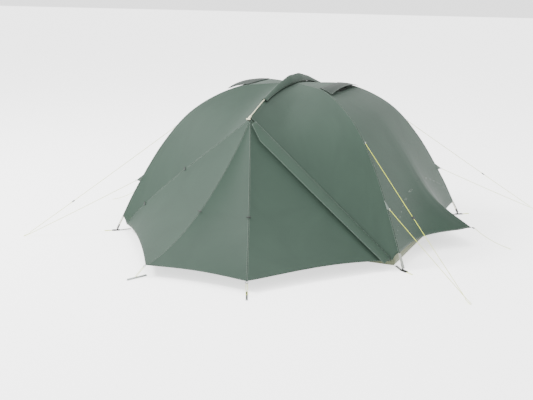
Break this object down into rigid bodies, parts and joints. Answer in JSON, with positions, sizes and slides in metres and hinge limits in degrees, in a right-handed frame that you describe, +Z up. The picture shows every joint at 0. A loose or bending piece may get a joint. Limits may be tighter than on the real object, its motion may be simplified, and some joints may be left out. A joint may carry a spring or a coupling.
{
  "type": "dome tent",
  "caption": "Pitched dome tent with crossed poles, a ridge pole in a raised sleeve, a green fly with two vestibules, and an inner tent.",
  "frame": {"origin": "on the ground under the crossing of the main poles, the bottom centre of the tent without its lines", "axes": "+Z up, +X along the sleepers, -Y towards the front vestibule"},
  "size_m": [3.4466, 3.473, 1.182],
  "materials": {
    "fly_fabric": "fine plain weave, waterproof coated, soft sheen",
    "inner_fabric": "thin plain weave, matt",
    "floor_fabric": "heavier coated weave, matt",
    "pole_aluminium": "pale anodised, satin",
    "peg_aluminium": "grey anodised, satin",
    "guy_cord": "braided lime yellow cord",
    "grey_webbing": "flat woven webbing",
    "cream_plastic": "moulded, matt",
    "pale_plastic": "moulded, matt",
    "black_plastic": "moulded, matt",
    "zip_coil": "nylon coil, matt"
  },
  "bodies": {
    "tent": {"apex_ladder_locks": "black_plastic", "corner_plates": "black_plastic", "corner_webbing": "grey_webbing", "door_toggles": "black_plastic", "end_line_locks": "black_plastic", "front_left_lower_guyline": "guy_cord", "front_left_upper_guyline": "guy_cord", "front_plain_side_panel": "fly_fabric", "front_right_lower_guyline": "guy_cord", "front_right_upper_guyline": "guy_cord", "front_vestibule_middle": "fly_fabric", "front_vestibule_side": "fly_fabric", "front_zip_chain": "zip_coil", "front_zip_side_panel": "fly_fabric", "groundsheet": "floor_fabric", "guy_tabs": "fly_fabric", "inner_front_wall": "inner_fabric", "inner_hangers": "grey_webbing", "inner_left_wall": "inner_fabric", "inner_rear_wall": "inner_fabric", "inner_right_wall": "inner_fabric", "left_end_line": "guy_cord", "left_end_panel": "fly_fabric", "left_vent_hood": "fly_fabric", "main_pole_lower": "pole_aluminium", "main_pole_upper": "pole_aluminium", "peg_loops": "guy_cord", "pole_ferrules": "pole_aluminium", "pole_foot_tips": "black_plastic", "rear_left_lower_guyline": "guy_cord", "rear_left_upper_guyline": "guy_cord", "rear_plain_side_panel": "fly_fabric", "rear_right_lower_guyline": "guy_cord", "rear_right_upper_guyline": "guy_cord", "rear_vestibule_middle": "fly_fabric", "rear_vestibule_side": "fly_fabric", "rear_zip_chain": "zip_coil", "rear_zip_side_panel": "fly_fabric", "ridge_end_fittings": "cream_plastic", "ridge_pole": "pole_aluminium", "ridge_sleeve": "fly_fabric", "right_end_line": "guy_cord", "right_end_panel": "fly_fabric", "right_vent_hood": "fly_fabric", "tie_rings": "pale_plastic", "vestibule_pegs": "peg_aluminium", "vestibule_rings": "black_plastic"},
    "front_door_body": {"front_door": "fly_fabric"},
    "front_flap_body": {"front_storm_flap": "fly_fabric"},
    "front_zip_slider_body": {"front_zip_slider": "black_plastic"},
    "inner_front_door_body": {"inner_front_door": "inner_fabric"},
    "rear_door_body": {"rear_door": "fly_fabric"},
    "rear_flap_body": {"rear_storm_flap": "fly_fabric"},
    "rear_zip_slider_body": {"rear_zip_slider": "black_plastic"},
    "inner_rear_door_body": {"inner_rear_door": "inner_fabric"},
    "lantern_ring_body": {"lantern_ring": "black_plastic"},
    "front_left_guy_slider_body": {"front_left_guy_slider": "black_plastic"},
    "front_right_guy_slider_body": {"front_right_guy_slider": "black_plastic"},
    "rear_left_guy_slider_body": {"rear_left_guy_slider": "black_plastic"},
    "rear_right_guy_slider_body": {"rear_right_guy_slider": "black_plastic"}
  },
  "joints": [
    {"name": "front_door_hinge", "type": "hinge", "parent": "tent", "child": "front_door_body", "pos_m": [0.00048, -0.77016, 0.9583], "axis": [0.2937, -0.6576, -0.6938], "range_deg": [0, 120], "deforming": ["front_storm_flap"]},
    {"name": "front_storm_flap_hinge", "type": "hinge", "parent": "tent", "child": "front_flap_body", "pos_m": [0.05618, -0.76022, 0.91671], "axis": [-0.7646, 0.0136, 0.6443], "range_deg": [0, 100]},
    {"name": "front_zip_slide", "type": "slide", "parent": "tent", "child": "front_zip_slider_body", "axis": [-0.7624, 0.0064, 0.6471], "range_m": [0, 1.15]},
    {"name": "rear_door_hinge", "type": "hinge", "parent": "tent", "child": "rear_door_body", "pos_m": [-0.00048, 0.77016, 0.9583], "axis": [-0.2937, 0.6576, -0.6938], "range_deg": [0, 120], "deforming": ["rear_storm_flap"]},
    {"name": "rear_storm_flap_hinge", "type": "hinge", "parent": "tent", "child": "rear_flap_body", "pos_m": [-0.05618, 0.76022, 0.91671], "axis": [0.7646, -0.0136, 0.6443], "range_deg": [0, 100]},
    {"name": "rear_zip_slide", "type": "slide", "parent": "tent", "child": "rear_zip_slider_body", "axis": [0.7624, -0.0064, 0.6471], "range_m": [0, 1.15]},
    {"name": "inner_front_door_hinge", "type": "hinge", "parent": "tent", "child": "inner_front_door_body", "pos_m": [0, -0.66187, 0.165], "axis": [-1, 0, 0], "range_deg": [0, 65]},
    {"name": "inner_rear_door_hinge", "type": "hinge", "parent": "tent", "child": "inner_rear_door_body", "pos_m": [0, 0.66187, 0.165], "axis": [1, 0, 0], "range_deg": [0, 65]},
    {"name": "lantern_ring_swing", "type": "hinge", "parent": "tent", "child": "lantern_ring_body", "pos_m": [0, 0, 1.03612], "axis": [1, 0, 0], "range_deg": [-60, 60]},
    {"name": "front_left_guy_slide", "type": "slide", "parent": "tent", "child": "front_left_guy_slider_body", "axis": [-0.6648, -0.4938, -0.5605], "range_m": [-0.25, 0.25]},
    {"name": "front_right_guy_slide", "type": "slide", "parent": "tent", "child": "front_right_guy_slider_body", "axis": [0.6579, -0.4978, -0.5651], "range_m": [-0.25, 0.25]},
    {"name": "rear_left_guy_slide", "type": "slide", "parent": "tent", "child": "rear_left_guy_slider_body", "axis": [-0.6579, 0.4978, -0.5651], "range_m": [-0.25, 0.25]},
    {"name": "rear_right_guy_slide", "type": "slide", "parent": "tent", "child": "rear_right_guy_slider_body", "axis": [0.6623, 0.4919, -0.5651], "range_m": [-0.25, 0.25]}
  ]
}
